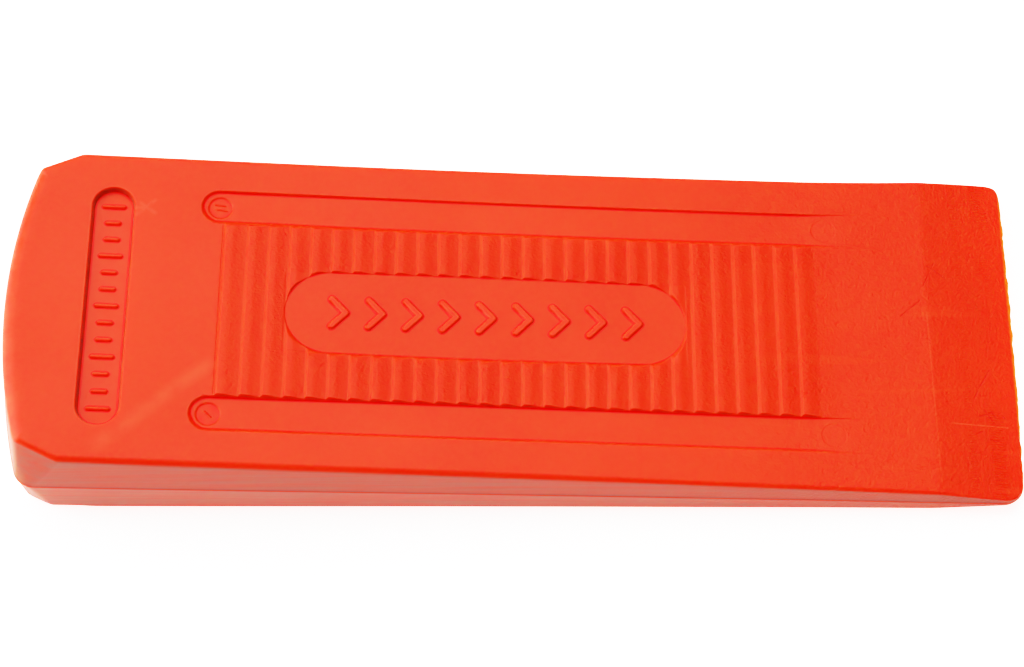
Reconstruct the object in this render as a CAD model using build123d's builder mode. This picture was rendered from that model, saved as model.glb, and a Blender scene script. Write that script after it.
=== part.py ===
"""Felling wedge: one solid plastic moulding, driven into a saw cut behind the bar.

Frame: +X runs from the struck head to the thin tip, +Z is up, and the wedge lies on its lower face.
The origin is the centre of the bounding box's bottom. All dimensions are in millimetres.
"""

import os
from math import atan2, cos, degrees, hypot, radians, sin, tan

from build123d import *

# body, on the parting plane halfway between the two driving faces
LENGTH = 238.0  # head crown to tip edge
WIDTH = 82.6
HEAD_THICKNESS = 27.2  # between the two face planes, at the head crown
TAPER = 5.0  # angle between the two faces
SIDE_DRAFT = 4.3  # each way from the parting plane
CROWN_RISE = 5.2  # how far the head bulges past its corner bevels
CROWN_HALF_WIDTH = 36.3
CORNER_BEVEL_END = 15.9  # where the corner bevels meet the sides
TIP_BEVEL_START = 217.6
TIP_THICKNESS = 1.6
TIP_CORNER_RADIUS = 4.0
RIM_RADIUS = 1.3

# relief, the same on both faces; every relief wall is drafted so that it leaves the mould
RELIEF_DRAFT = 27.0
TOOTH_PITCH = 5.0
TOOTH_COUNT = 28
TOOTH_RISE = 1.7  # length of the short flank that faces the head
TOOTH_HEIGHT = 0.55
FIRST_TOOTH = 50.5
FIRST_TOOTH_LENGTH = 5.45
FIELD_HALF_WIDTH = 22.0
PANEL_START = 65.7  # smooth panel in the middle of the teeth
PANEL_END = 159.6
PANEL_WIDTH = 20.6
SLOT_CENTRE = 24.4
SLOT_LENGTH = 62.0
SLOT_WIDTH = 10.0
SLOT_DEPTH = 1.6
RAIL_START = 44.9
RAIL_FADE = 202.0
RAIL_OFFSET = 27.05
RAIL_WIDTH = 8.9
RAIL_DEPTH = 0.75

# small marks
EJECTOR_DIAMETER = 6.0
EJECTOR_DEPTH = 0.15
EJECTOR_NEAR_HEAD = 49.4
EJECTOR_NEAR_TIP = 193.5
CHEVRON_COUNT = 9
CHEVRON_PITCH = 8.6
CHEVRON_HEIGHT = 8.2
CHEVRON_REACH = 3.9
CHEVRON_STROKE = 2.4
TICK_PITCH = 4.4
TICK_COUNT = 13
TICK_WIDTH = 1.1
MARK_RELIEF = 0.4

# derived
HALF_TAPER = radians(TAPER / 2)
HEAD_HALF = HEAD_THICKNESS / 2
TIP_BEVEL_HALF = HEAD_HALF - TIP_BEVEL_START * tan(HALF_TAPER)
SPAN = LENGTH * cos(HALF_TAPER) + TIP_THICKNESS / 2 * sin(HALF_TAPER)
HEAD_MIDDLE = Vector(-SPAN / 2, 0, TOOTH_HEIGHT + HEAD_HALF * cos(HALF_TAPER))
ALONG = Vector(cos(HALF_TAPER), 0, -sin(HALF_TAPER))
ACROSS_THICKNESS = Vector(sin(HALF_TAPER), 0, cos(HALF_TAPER))

parting = Plane(origin=HEAD_MIDDLE, x_dir=ALONG, z_dir=ACROSS_THICKNESS)
profile_plane = Plane(origin=HEAD_MIDDLE, x_dir=ALONG, z_dir=(0, -1, 0))
upper_face = Plane(
    origin=HEAD_MIDDLE + ACROSS_THICKNESS * HEAD_HALF,
    x_dir=(cos(2 * HALF_TAPER), 0, -sin(2 * HALF_TAPER)),
    z_dir=(sin(2 * HALF_TAPER), 0, cos(2 * HALF_TAPER)),
)
lower_face = Plane(
    origin=HEAD_MIDDLE - ACROSS_THICKNESS * HEAD_HALF,
    x_dir=(1, 0, 0),
    z_dir=(0, 0, -1),
)


def rail_floor(face, side):
    """The sloping floor of one rail: deepest at its round end, level with the face where it fades out."""
    run = RAIL_FADE - RAIL_START
    slope = atan2(RAIL_DEPTH, run)
    return Plane(
        origin=face.from_local_coords(Vector(RAIL_START, side * RAIL_OFFSET, -RAIL_DEPTH)),
        x_dir=face.x_dir * cos(slope) + face.z_dir * sin(slope),
        z_dir=face.z_dir * cos(slope) - face.x_dir * sin(slope),
    )


# the block of teeth, drafted all round, lying on the XY plane with the head's crown at X = 0
field_end = FIRST_TOOTH + FIRST_TOOTH_LENGTH + (TOOTH_COUNT - 1) * TOOTH_PITCH
tooth_starts = [FIRST_TOOTH]
for i in range(TOOTH_COUNT - 1):
    tooth_starts.append(FIRST_TOOTH + FIRST_TOOTH_LENGTH + i * TOOTH_PITCH)

with BuildPart() as tooth_field:
    with BuildSketch(Plane.XY):
        with Locations(((FIRST_TOOTH + field_end) / 2, 0)):
            Rectangle(field_end - FIRST_TOOTH, 2 * FIELD_HALF_WIDTH)
        with Locations(((PANEL_START + PANEL_END) / 2, 0)):
            SlotOverall(PANEL_END - PANEL_START, PANEL_WIDTH, mode=Mode.SUBTRACT)
    extrude(amount=TOOTH_HEIGHT + 0.1, taper=RELIEF_DRAFT)
    with BuildSketch(Plane.XZ):
        with BuildLine():
            outline = [(FIRST_TOOTH, -0.2)]
            for start, end in zip(tooth_starts, tooth_starts[1:] + [field_end]):
                outline.append((start, 0))
                outline.append((start + TOOTH_RISE, TOOTH_HEIGHT))
            outline.append((field_end, 0))
            outline.append((field_end, -0.2))
            Polyline(outline, close=True)
        make_face()
    extrude(amount=WIDTH, both=True, mode=Mode.INTERSECT)

with BuildPart() as wedge_body:
    # plan outline, drafted away from the parting plane on both sides
    with BuildSketch(parting):
        with BuildLine():
            ThreePointArc(
                (CROWN_RISE, CROWN_HALF_WIDTH), (0, 0), (CROWN_RISE, -CROWN_HALF_WIDTH)
            )
            Polyline(
                (CROWN_RISE, -CROWN_HALF_WIDTH),
                (CORNER_BEVEL_END, -WIDTH / 2),
                (LENGTH - TIP_CORNER_RADIUS, -WIDTH / 2),
            )
            Line((LENGTH, TIP_CORNER_RADIUS - WIDTH / 2), (LENGTH, WIDTH / 2 - TIP_CORNER_RADIUS))
            Polyline(
                (LENGTH - TIP_CORNER_RADIUS, WIDTH / 2),
                (CORNER_BEVEL_END, WIDTH / 2),
                (CROWN_RISE, CROWN_HALF_WIDTH),
            )
            for side in (1, -1):
                RadiusArc(
                    (LENGTH - TIP_CORNER_RADIUS, side * WIDTH / 2),
                    (LENGTH, side * (WIDTH / 2 - TIP_CORNER_RADIUS)),
                    side * TIP_CORNER_RADIUS,
                )
        make_face()
    extrude(amount=HEAD_HALF + 1, taper=SIDE_DRAFT, both=True)

    # the two driving faces and the two tip bevels
    with BuildSketch(profile_plane):
        with BuildLine():
            Polyline(
                (-1, HEAD_HALF + tan(HALF_TAPER)),
                (TIP_BEVEL_START, TIP_BEVEL_HALF),
                (LENGTH + 0.01, TIP_THICKNESS / 2),
                (LENGTH + 0.01, -TIP_THICKNESS / 2),
                (TIP_BEVEL_START, -TIP_BEVEL_HALF),
                (-1, -HEAD_HALF - tan(HALF_TAPER)),
                close=True,
            )
        make_face()
    extrude(amount=WIDTH, both=True, mode=Mode.INTERSECT)

    for face in (upper_face, lower_face):
        # rounded rim of the face, up to the tip bevel
        flat = wedge_body.faces().filter_by(lambda f: f.normal_at().dot(face.z_dir) > 0.99999)[0]
        rim = flat.edges().filter_by(lambda e: e.center().X < 80 or e.length > 100)
        fillet(rim, radius=RIM_RADIUS)

    for face in (upper_face, lower_face):
        # slot behind the head
        shrink = 2 * SLOT_DEPTH * tan(radians(RELIEF_DRAFT))
        slot_floor = face.offset(-SLOT_DEPTH)
        with BuildSketch(slot_floor):
            with Locations((SLOT_CENTRE, 0)):
                SlotOverall(SLOT_LENGTH - shrink, SLOT_WIDTH - shrink, rotation=90)
        extrude(amount=SLOT_DEPTH + 0.5, taper=-RELIEF_DRAFT, mode=Mode.SUBTRACT)

        # rails beside the teeth
        for side in (1, -1):
            shrink = 2 * RAIL_DEPTH * tan(radians(RELIEF_DRAFT))
            length = RAIL_FADE - RAIL_START + 20
            with BuildSketch(rail_floor(face, side)):
                with Locations((length / 2, 0)):
                    SlotOverall(length - shrink, RAIL_WIDTH - shrink)
            extrude(amount=RAIL_DEPTH + 0.5, taper=-RELIEF_DRAFT, mode=Mode.SUBTRACT)

        # teeth
        add(face * tooth_field.part)

        # chevrons on the panel, pointing in the driving direction
        with BuildSketch(face.offset(-0.05)):
            middle = (PANEL_START + PANEL_END) / 2
            for i in range(CHEVRON_COUNT):
                x = middle + (i - (CHEVRON_COUNT - 1) / 2) * CHEVRON_PITCH
                back = x - (CHEVRON_REACH + CHEVRON_STROKE) / 2
                with BuildLine():
                    Polyline(
                        (back, CHEVRON_HEIGHT / 2),
                        (back + CHEVRON_STROKE, CHEVRON_HEIGHT / 2),
                        (back + CHEVRON_STROKE + CHEVRON_REACH, 0),
                        (back + CHEVRON_STROKE, -CHEVRON_HEIGHT / 2),
                        (back, -CHEVRON_HEIGHT / 2),
                        (back + CHEVRON_REACH, 0),
                        close=True,
                    )
                make_face()
        extrude(amount=MARK_RELIEF + 0.05)

        # depth graduation in the slot: every third tick is long
        with BuildSketch(face.offset(-SLOT_DEPTH - 0.05)):
            for i in range(TICK_COUNT):
                step = i - (TICK_COUNT - 1) // 2
                tick = 5.7 if step % 3 == 0 else 3.9
                with Locations((SLOT_CENTRE, step * TICK_PITCH)):
                    Rectangle(tick, TICK_WIDTH)
        extrude(amount=MARK_RELIEF + 0.05)

    # witness marks of the ejector pins, on the upper face only
    for side in (1, -1):
        floor = rail_floor(upper_face, side)
        with BuildSketch(floor.offset(-EJECTOR_DEPTH)):
            with Locations((EJECTOR_NEAR_HEAD - RAIL_START, 0), (EJECTOR_NEAR_TIP - RAIL_START, 0)):
                Circle(EJECTOR_DIAMETER / 2)
        extrude(amount=EJECTOR_DEPTH + 1, mode=Mode.SUBTRACT)

os.makedirs("parts", exist_ok=True)
wedge_body.part.label = "wedge_body"
export_step(wedge_body.part, "parts/wedge_body.step")
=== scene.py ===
"""Felling wedge: the visual model of one orange plastic moulding, with its camera, lights and floor.

The wedge is built in millimetres in the mould's own frame: u runs along the parting plane from the crown of
the head to the tip, v runs across the width, and w is the height above the parting plane. The material works
in x and y instead: millimetres from the middle of the wedge, with x toward the tip.
"""

import math

import bpy
import numpy as np
from mathutils import Matrix, Vector, geometry


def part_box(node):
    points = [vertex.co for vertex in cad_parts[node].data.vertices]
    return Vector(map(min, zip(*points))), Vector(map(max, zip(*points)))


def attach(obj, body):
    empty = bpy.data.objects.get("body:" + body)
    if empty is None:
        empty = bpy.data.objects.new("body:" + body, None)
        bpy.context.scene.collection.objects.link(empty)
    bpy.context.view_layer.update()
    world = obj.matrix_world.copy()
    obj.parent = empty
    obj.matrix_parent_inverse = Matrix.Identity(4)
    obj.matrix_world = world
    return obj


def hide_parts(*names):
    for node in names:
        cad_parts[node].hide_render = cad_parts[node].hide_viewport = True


MM = 0.001

# ---------------------------------------------------------------- the body's sizes, in mm and degrees
TAPER = 5.0
HEAD_HALF = 13.6
CROWN_RISE = 5.2
CROWN_HALF_WIDTH = 36.3
CORNER_BEVEL_END = 15.9
TIP_BEVEL_START = 217.6
TIP_HALF = 0.8
TIP_CORNER_RADIUS = 4.5
UPPER_DRAFT = 4.8
LOWER_DRAFT = 3.7

# at the parting line the crown is flatter and the head's corners are nearly square
SOFT_CROWN_RISE = 4.6
CORNER_ROUND = 5.0
# below it the corners turn to bevels more slowly, and are rounded off where they meet the sides
LOWER_CORNERS = 0.45
SHOULDER = 3.6

# radii of the faces' rims, and how far inside the edge the outline's points start
CROWN_RIM = 3.4
SIDE_RIM = 1.7
LOWER_RIM = 0.5
TIP_RIM = 0.45
BASE_INSET = TIP_CORNER_RADIUS

# how the moulding departs from straight
BOW = 0.9
WAIST = 0.33
TIP_FLARE = 1.1
TIP_SKEW = 0.25
TIP_CAMBER = 0.45

# ---------------------------------------------------------------- the relief's sizes, in mm
TOOTH_HEIGHT = 0.55
TOOTH_PITCH = 5.0
TOOTH_COUNT = 28
TOOTH_FLANK = 0.8
CREST_WIDTH = 1.6
CREST_FALL = 0.02
FIRST_TOOTH = 50.5
FIRST_TOOTH_LENGTH = 5.45
FIELD_HALF_WIDTH = 22.6
FIELD_ROUND = 0.12
EDGE_GROOVE = 0.12
PANEL_START = 65.7
PANEL_END = 159.6
PANEL_HALF_WIDTH = 10.3
PANEL_BULGE = 0.5
PANEL_DROP = 0.13
PANEL_TILT = 0.08
PANEL_ROUND = 0.1
SLOT_CENTRE = 24.4
SLOT_LENGTH = 62.0
SLOT_WIDTH = 10.0
SLOT_DEPTH = 1.6
SLOT_RIM_ROUND = 0.6
SLOT_FLOOR_ROUND = 0.35
RAIL_START = 44.9
RAIL_RAMP = 184.0
RAIL_FADE = 203.0
RAIL_OFFSET = 27.05
RAIL_WIDTH = 8.9
RAIL_DEPTH = 0.5
RAIL_EXTRA_DEPTH = 0.15
RAIL_RIM_ROUND = 0.16
RAIL_FLOOR_ROUND = 0.2

# slopes of the walls, as height over distance
SOFT_WALL = 0.8
STEEP_WALL = 1.6
MARK_WALL = 1.7
SLOT_WALL = 3.4

CHEVRON_COUNT = 9
CHEVRON_PITCH = 8.6
CHEVRON_HALF_HEIGHT = 3.5
CHEVRON_REACH = 3.3
CHEVRON_HALF_STROKE = 0.9
TICK_COUNT = 13
TICK_PITCH = 4.4
TICK_HALF_STROKE = 0.55
LONG_TICK_HALF = 2.3
SHORT_TICK_HALF = 1.4
MARK_HEIGHT = 0.55
MARK_TOP_ROUND = 0.25
MARK_FOOT_ROUND = 0.12
EJECTOR_RADIUS = 3.0
EJECTOR_DEPTH = 0.24
EJECTOR_NEAR_HEAD = 49.4
EJECTOR_NEAR_TIP = 193.5
EJECTOR_WALL = 0.64
PIN_STROKE = 0.2
PIN_STROKE_SHARE = 0.6

# ---------------------------------------------------------------- mesh lines, as distances in mm
# from the rail's edge inward, from the panel's edge outward, and from a tooth's start toward the tip
RAIL_LINES = (-0.9, -0.5, -0.17, -0.08, 0, 0.06, 0.11, 0.17, 0.22, 0.28, 0.34, 0.42, 0.5)
RAIL_LINES += (0.6, 0.7, 0.82, 1.2, 1.6)
PANEL_LINES = (-1.2, -0.8, -0.45, -0.12, -0.05, 0.0, 0.06, 0.13, 0.22, 0.3, 0.45, 0.65, 0.9)
TOOTH_LINES = (0.0, 0.15, 0.45, 0.58, 0.68, 0.8, 0.95, 1.35, 1.75, 1.95, 2.15, 2.4, 2.9, 3.5)
# heights on the tooth field's side walls that get a line
FIELD_WALL_HEIGHTS = (0.0, 0.06, 0.15, 0.3, 0.42, 0.52, 0.62)
RIM_STEPS = 10
SHORTEST_RADIUS = 0.02

# ---------------------------------------------------------------- sizes worked out from the frame
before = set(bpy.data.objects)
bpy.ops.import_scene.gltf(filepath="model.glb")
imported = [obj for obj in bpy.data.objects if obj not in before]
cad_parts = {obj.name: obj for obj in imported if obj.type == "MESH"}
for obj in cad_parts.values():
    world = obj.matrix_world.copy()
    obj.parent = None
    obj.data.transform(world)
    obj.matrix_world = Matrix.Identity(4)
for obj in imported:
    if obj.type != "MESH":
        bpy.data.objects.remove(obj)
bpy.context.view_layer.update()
low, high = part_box("wedge_body")
HALF_TAPER = math.radians(TAPER / 2)
COS, SIN = math.cos(HALF_TAPER), math.sin(HALF_TAPER)
HEAD_X = low.x / MM
LENGTH = (high.x - low.x) / MM / COS
HALF_WIDTH = (high.y - low.y) / MM / 2
SIDE_V = HALF_WIDTH - BASE_INSET
HEAD_LEVEL = TOOTH_HEIGHT + HEAD_HALF * COS
PARTING_LEVEL = HEAD_LEVEL * COS + HEAD_X * SIN
TIP_SLOPE = (HEAD_HALF - TIP_BEVEL_START * math.tan(HALF_TAPER) - TIP_HALF) / (LENGTH - TIP_BEVEL_START)
FIELD_END = FIRST_TOOTH + FIRST_TOOTH_LENGTH + (TOOTH_COUNT - 1) * TOOTH_PITCH
PANEL_MIDDLE = (PANEL_START + PANEL_END) / 2
PANEL_ENDS = (PANEL_START + PANEL_HALF_WIDTH, 0), (PANEL_END - PANEL_HALF_WIDTH, 0)
SLOT_REACH = SLOT_LENGTH / 2 - SLOT_WIDTH / 2
SLOT_ENDS = (SLOT_CENTRE, -SLOT_REACH), (SLOT_CENTRE, SLOT_REACH)


# ---------------------------------------------------------------- small maths
def smooth_min(a, b, k):
    """The lower of two surfaces, with their meeting line rounded over a height k."""
    h = np.maximum(k - np.abs(a - b), 0) / k
    return np.minimum(a, b) - h * h * k / 4


def smooth_max(a, b, k):
    """The higher of two surfaces, with their meeting line rounded over a height k."""
    return -smooth_min(-a, -b, k)


def ramp(x, start, end):
    """0 before start, 1 after end, with a smooth S between."""
    t = np.clip((x - start) / (end - start), 0, 1)
    return t * t * (3 - 2 * t)


def zero_like(x):
    return np.zeros(np.shape(x))


def distance_to_segment(u, v, a, b):
    """Distance from each point to the straight line between a and b."""
    a, b = np.array(a, float), np.array(b, float)
    along = b - a
    t = ((u - a[0]) * along[0] + (v - a[1]) * along[1]) / max(along @ along, 1e-12)
    t = np.clip(t, 0, 1)
    return np.hypot(u - a[0] - t * along[0], v - a[1] - t * along[1])


# ---------------------------------------------------------------- the face's relief, over the flat face
def tooth_spans():
    """Where each tooth starts and ends along u. The first tooth is a little longer than the others."""
    starts = [FIRST_TOOTH]
    for i in range(TOOTH_COUNT - 1):
        starts.append(FIRST_TOOTH + FIRST_TOOTH_LENGTH + i * TOOTH_PITCH)
    return list(zip(starts, starts[1:] + [FIELD_END]))


def tooth_profile(u):
    """Saw teeth: a short flank toward the head, a narrow crest, and a hollow fall to the next tooth."""
    height = np.zeros_like(u)
    for start, end in tooth_spans():
        s = u - start
        rise = s * TOOTH_FLANK
        crest = TOOTH_HEIGHT - 0.01 - CREST_FALL * s
        fall = (TOOTH_HEIGHT + 0.06) * np.clip((end - u) / (end - start - CREST_WIDTH), 0, 1.5) ** 1.35
        height = np.maximum(height, smooth_min(smooth_min(rise, fall, 0.15), crest, 0.1))
    return height


def chevron_lines():
    """The chevrons' centre lines, as three points each, pointing toward the tip."""
    lines = []
    for i in range(CHEVRON_COUNT):
        u = PANEL_MIDDLE + (i - (CHEVRON_COUNT - 1) / 2) * CHEVRON_PITCH
        back, front = u - CHEVRON_REACH / 2, u + CHEVRON_REACH / 2
        lines.append([(back, CHEVRON_HALF_HEIGHT), (front, 0.0), (back, -CHEVRON_HALF_HEIGHT)])
    return lines


def tick_lines():
    """The graduation's centre lines in the slot: every third tick is long."""
    lines = []
    for i in range(TICK_COUNT):
        step = i - (TICK_COUNT - 1) // 2
        half = LONG_TICK_HALF if step % 3 == 0 else SHORT_TICK_HALF
        v = step * TICK_PITCH
        lines.append([(SLOT_CENTRE - half, v), (SLOT_CENTRE + half, v)])
    return lines


def raised_mark(u, v, lines, half_stroke):
    """Height of raised strokes that follow the given lines."""
    gap = np.full_like(u, 99.0)
    for line in lines:
        near = (np.abs(u - line[0][0]) < 8) & (np.abs(v - line[0][1]) < 12)
        if not near.any():
            continue
        for a, b in zip(line, line[1:]):
            gap[near] = np.minimum(gap[near], distance_to_segment(u[near], v[near], a, b))
    wall = (half_stroke - gap) * MARK_WALL
    capped = smooth_min(wall, zero_like(u) + MARK_HEIGHT, MARK_TOP_ROUND)
    return smooth_max(capped, zero_like(u), MARK_FOOT_ROUND)


def panel_bulge(u):
    """How far the panel's long edges stand out, most at its middle."""
    half_length = (PANEL_END - PANEL_START) / 2
    return PANEL_BULGE * np.clip(1 - ((u - PANEL_MIDDLE) / half_length) ** 2, 0, 1)


def panel_gap(u, v):
    """Distance outside the smooth panel's outline, negative inside it."""
    return distance_to_segment(u, v, *PANEL_ENDS) - PANEL_HALF_WIDTH - panel_bulge(u)


def rail_depth(u):
    """Depth of the rails' floor: a little deeper at the round end, and none toward the tip."""
    deeper = RAIL_EXTRA_DEPTH * (1 - ramp(u, 55, 90))
    return (RAIL_DEPTH + deeper) * (1 - ramp(u, RAIL_RAMP, RAIL_FADE))


def wall_slope(v):
    """Recess walls on the +v side are steep, those on the -v side are soft."""
    return SOFT_WALL + (STEEP_WALL - SOFT_WALL) * (0.5 + 0.5 * np.tanh(v / 1.2))


def tooth_field(u, v):
    """Height of the teeth, with a fine groove along the edge that faces the head."""
    inner = (FIELD_HALF_WIDTH - np.abs(v)) * np.where(v > 0, SOFT_WALL, STEEP_WALL)
    teeth = smooth_min(tooth_profile(u), np.maximum(inner, 0), FIELD_ROUND)
    teeth = np.where(np.abs(v) < FIELD_HALF_WIDTH, teeth, zero_like(u))
    groove = EDGE_GROOVE * np.exp(-(((u - FIRST_TOOTH + 0.1) / 0.16) ** 2))
    return teeth - groove * ramp(FIELD_HALF_WIDTH - np.abs(v), 0.1, 0.7)


def sink_panel(u, v, height):
    """The height with the smooth panel cut into it."""
    gap = panel_gap(u, v)
    drop = PANEL_DROP - PANEL_TILT * np.clip(v / PANEL_HALF_WIDTH, -1, 1)
    floor_and_wall = smooth_max(gap * wall_slope(v) - drop, -drop, PANEL_ROUND)
    return np.where(gap < 1.2, smooth_min(height, floor_and_wall, PANEL_ROUND), height)


def rail_drop(u, v, side):
    """Depth of one of the two recessed rails."""
    centre = side * RAIL_OFFSET
    run = (RAIL_START + RAIL_WIDTH / 2, centre), (RAIL_FADE + 10, centre)
    inside = (RAIL_WIDTH / 2 - distance_to_segment(u, v, *run)) * wall_slope(v - centre)
    return smooth_max(smooth_min(inside, rail_depth(u), RAIL_FLOOR_ROUND), zero_like(u), RAIL_RIM_ROUND)


def slot_drop(u, v):
    """Depth of the slot behind the head."""
    inside = (SLOT_WIDTH / 2 - distance_to_segment(u, v, *SLOT_ENDS)) * SLOT_WALL
    floor = zero_like(u) + SLOT_DEPTH
    return smooth_max(smooth_min(inside, floor, SLOT_FLOOR_ROUND), zero_like(u), SLOT_RIM_ROUND)


def ejector_drop(u, v, centre_u, centre_v):
    """Depth of one ejector mark: those near the tip are only a quarter as deep."""
    depth = EJECTOR_DEPTH if centre_u < LENGTH / 2 else EJECTOR_DEPTH / 4
    inside = (EJECTOR_RADIUS - np.hypot(u - centre_u, v - centre_v)) * EJECTOR_WALL
    return smooth_max(smooth_min(inside, zero_like(u) + depth, depth / 3), zero_like(u), depth / 3)


def relief(u, v, upper, toothed=True):
    """Height of the face's surface over its flat plane. The ejector marks are on the upper face only."""
    height = sink_panel(u, v, tooth_field(u, v) if toothed else zero_like(u))
    height = height + raised_mark(u, v, chevron_lines(), CHEVRON_HALF_STROKE)
    for side in (1, -1):
        height = height - rail_drop(u, v, side)
    height = height - slot_drop(u, v)
    height = height + raised_mark(u, v, tick_lines(), TICK_HALF_STROKE)
    if upper:
        for centre in ejector_centres():
            height = height - ejector_drop(u, v, *centre)
        height = height + PIN_STROKE_SHARE * raised_mark(u, v, pin_lines(), PIN_STROKE)
    return height


def hollowness(u, v, upper):
    """How far the surface near each point stands over it, in mm. The teeth count across the face only."""
    across = -4 * relief(u, v, upper)
    along = -4 * relief(u, v, upper, False)
    for step in (-0.6, -0.3, 0.3, 0.6):
        across = across + relief(u, v + step, upper)
        along = along + relief(u + step, v, upper, False)
    return (across + along) / 4


def pin_lines():
    """The small strokes left by the ends of two ejector pins."""
    u, v = EJECTOR_NEAR_HEAD, RAIL_OFFSET
    return [
        [(u - 1.4, v + 0.9), (u + 1.0, v + 0.6)],
        [(u - 0.9, v - 0.4), (u + 1.4, v - 0.7)],
        [(u - 0.8, 0.7 - v), (u + 0.7, -0.7 - v)],
    ]


def ejector_centres():
    """The middles of the four ejector marks, at the ends of the two rails."""
    centres = []
    for u in (EJECTOR_NEAR_HEAD, EJECTOR_NEAR_TIP):
        for side in (1, -1):
            centres.append((u, side * RAIL_OFFSET))
    return centres


# ---------------------------------------------------------------- the body
def face_height(u):
    """Half thickness of the body at u: the taper, then the tip bevel, with a softly rounded crease."""
    taper = HEAD_HALF - u * math.tan(HALF_TAPER)
    bevel = TIP_HALF + (LENGTH - u) * TIP_SLOPE
    return smooth_min(taper, bevel, 0.12)


def to_world(u, v, w):
    """Mould frame to row frame, in metres, with the moulding's small bow, waist and flared, skewed tip."""
    bow = BOW * ((2 * u / LENGTH - 1) ** 2 - 0.5)
    near_tip = ramp(u, 185, LENGTH)
    spread = v / HALF_WIDTH
    flare = near_tip * np.where(v > 0, TIP_FLARE, TIP_FLARE / 4)
    v = v + spread * (flare - WAIST * np.sin(np.pi * np.clip(u / LENGTH, 0, 1)) ** 2)
    u = u + near_tip * (TIP_SKEW * spread - TIP_CAMBER * spread**2)
    x = u * COS + w * SIN + HEAD_X
    z = -u * SIN + w * COS + HEAD_LEVEL + bow + BOW / 2
    return np.stack([x, v, z], axis=-1) * MM


def crown_radius(rise):
    """Radius of the head's crown, from how far its middle stands ahead of its ends."""
    return (CROWN_HALF_WIDTH**2 + rise**2) / (2 * rise)


def bevelled_corner():
    """The inset head corner: where its bevel meets the side and the crown, and its outward heading."""
    slant = math.atan2(HALF_WIDTH - CROWN_HALF_WIDTH, CORNER_BEVEL_END - CROWN_RISE)
    direction = np.array([math.cos(slant), math.sin(slant)])
    start = np.array([CROWN_RISE, CROWN_HALF_WIDTH]) - BASE_INSET * np.array([-direction[1], direction[0]])
    shoulder = start + direction * (SIDE_V - start[1]) / direction[1]
    offset = start - np.array([crown_radius(CROWN_RISE), 0])
    b = offset @ direction
    c = offset @ offset - (crown_radius(CROWN_RISE) - BASE_INSET) ** 2
    return shoulder, start + direction * (-b - math.sqrt(b * b - c)), math.pi / 2 + slant


def soft_corner():
    """Middle of the nearly square corner's rounding, and the heading at which it meets the flatter crown."""
    radius = crown_radius(SOFT_CROWN_RISE)
    v = HALF_WIDTH - CORNER_ROUND
    u = radius - math.sqrt((radius - CORNER_ROUND) ** 2 - v**2)
    return u, v, math.atan2(v, u - radius)


def tip_and_side(shoulder):
    """The outline's plain rows: half the tip edge, the tip's corner, and the long side."""
    tip_u = LENGTH - BASE_INSET
    places = [(tip_u, v, 0.0) for v in np.linspace(0, SIDE_V, 60)]
    places += [(tip_u, SIDE_V, angle) for angle in np.linspace(0, math.pi / 2, 15)[1:]]
    crease = TIP_BEVEL_START + np.array([1.6, 0.9, 0.45, 0, -0.45, -0.9, -1.6])
    bevel = np.linspace(tip_u - 2, crease[0] + 1.5, 6)
    along = np.linspace(crease[-1] - 2, shoulder[0] + 1.5, 72)
    places += [(u, SIDE_V, math.pi / 2) for u in np.concatenate([bevel, crease, along])]
    return [(*place, *place) for place in places]


def corner_rows(shoulder, crown_end, bevel_angle, crown_angle):
    """The outline's rows round the head's corner."""
    corner = [(shoulder, angle) for angle in np.linspace(math.pi / 2, bevel_angle, 6)]
    corner += [(shoulder + (crown_end - shoulder) * t, bevel_angle) for t in np.linspace(0, 1, 8)[1:-1]]
    corner += [(crown_end, angle) for angle in np.linspace(bevel_angle, crown_angle, 5)]
    round_u, round_v, round_end = soft_corner()
    reach = CORNER_ROUND - BASE_INSET
    rows = []
    for (place, angle), soft in zip(corner, np.linspace(math.pi / 2, round_end, len(corner))):
        soft_place = round_u + reach * math.cos(soft), round_v + reach * math.sin(soft)
        rows.append((*place, angle, *soft_place, soft))
    return rows


def crown_rows(crown_angle):
    """The outline's rows along half the crown."""
    sharp_radius, soft_radius = crown_radius(CROWN_RISE), crown_radius(SOFT_CROWN_RISE)
    rows = []
    for t in np.linspace(0, 1, 32)[1:]:
        row = []
        for radius, first in ((sharp_radius, crown_angle), (soft_radius, soft_corner()[2])):
            angle = first + (math.pi - first) * t
            reach = radius - BASE_INSET
            row += [radius + reach * math.cos(angle), reach * math.sin(angle), angle]
        rows.append(row)
    return rows


def outline():
    """The plan outline, inset so far that the tip's corners are points.

    Each row holds a point and its outward heading, first with the head's corners bevelled, as along both
    faces, and then with the corners almost square, as they are at the parting line.
    """
    shoulder, crown_end, bevel_angle = bevelled_corner()
    crown_angle = math.atan2(crown_end[1], crown_end[0] - crown_radius(CROWN_RISE))
    half = tip_and_side(shoulder) + corner_rows(shoulder, crown_end, bevel_angle, crown_angle)
    half = np.array(half + crown_rows(crown_angle))
    mirror = half[-2:0:-1] * [1, -1, -1, 1, -1, -1]
    return np.vstack([half, mirror])


def unit(angle):
    """The direction of each heading."""
    return np.stack([np.cos(angle), np.sin(angle)], axis=-1)


def wear_noise(t, seed, scale):
    """Smooth one-dimensional noise in -1..1 along the tip edge."""
    rng = np.random.default_rng(seed)
    knots = rng.uniform(-1, 1, int(np.ceil(t.max() / scale)) + 4)
    x = t / scale
    i = np.floor(x).astype(int)
    f = x - i
    f = f * f * (3 - 2 * f)
    return knots[i] * (1 - f) + knots[i + 1] * f


def rim_radius(rows, crown, side):
    """Rim radius along the outline: generous round the crown, tighter along the sides, fine at the tip."""
    along = rows[:, 0]
    facing_head = ramp(-np.cos(rows[:, 2]), 0.6, 0.97)
    radius = side + (crown - side) * facing_head - 0.35 * side * ramp(along, 60, 215)
    return radius + (TIP_RIM - radius) * ramp(along, 205, LENGTH - BASE_INSET)


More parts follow.
